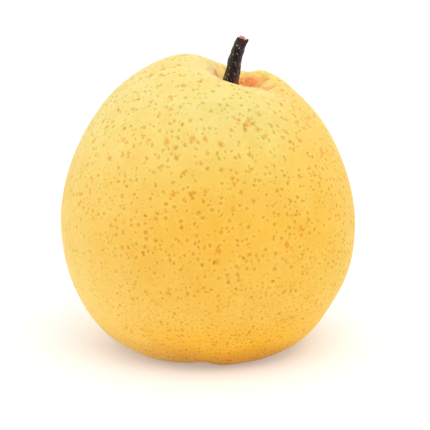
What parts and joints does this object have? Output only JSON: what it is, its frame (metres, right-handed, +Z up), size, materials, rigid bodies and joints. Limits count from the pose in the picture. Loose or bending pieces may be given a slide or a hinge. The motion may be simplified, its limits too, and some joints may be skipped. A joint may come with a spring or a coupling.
{
  "type": "asian pear",
  "caption": "Whole round yellow Asian pear resting on its small flat foot, with a short dark woody stem leaning out of its stem cavity.",
  "frame": {"origin": "middle of the foot, on the plane that the pear stands on", "axes": "+Z up through the fruit towards the stem, +X towards the side that the stem leans to, -Y towards the side with the low lip of the stem cavity"},
  "size_m": [0.0839, 0.084, 0.0889],
  "materials": {
    "skin": "satin",
    "bark": "matte"
  },
  "bodies": {
    "root": {"fruit": "skin", "stem": "bark"}
  },
  "joints": []
}
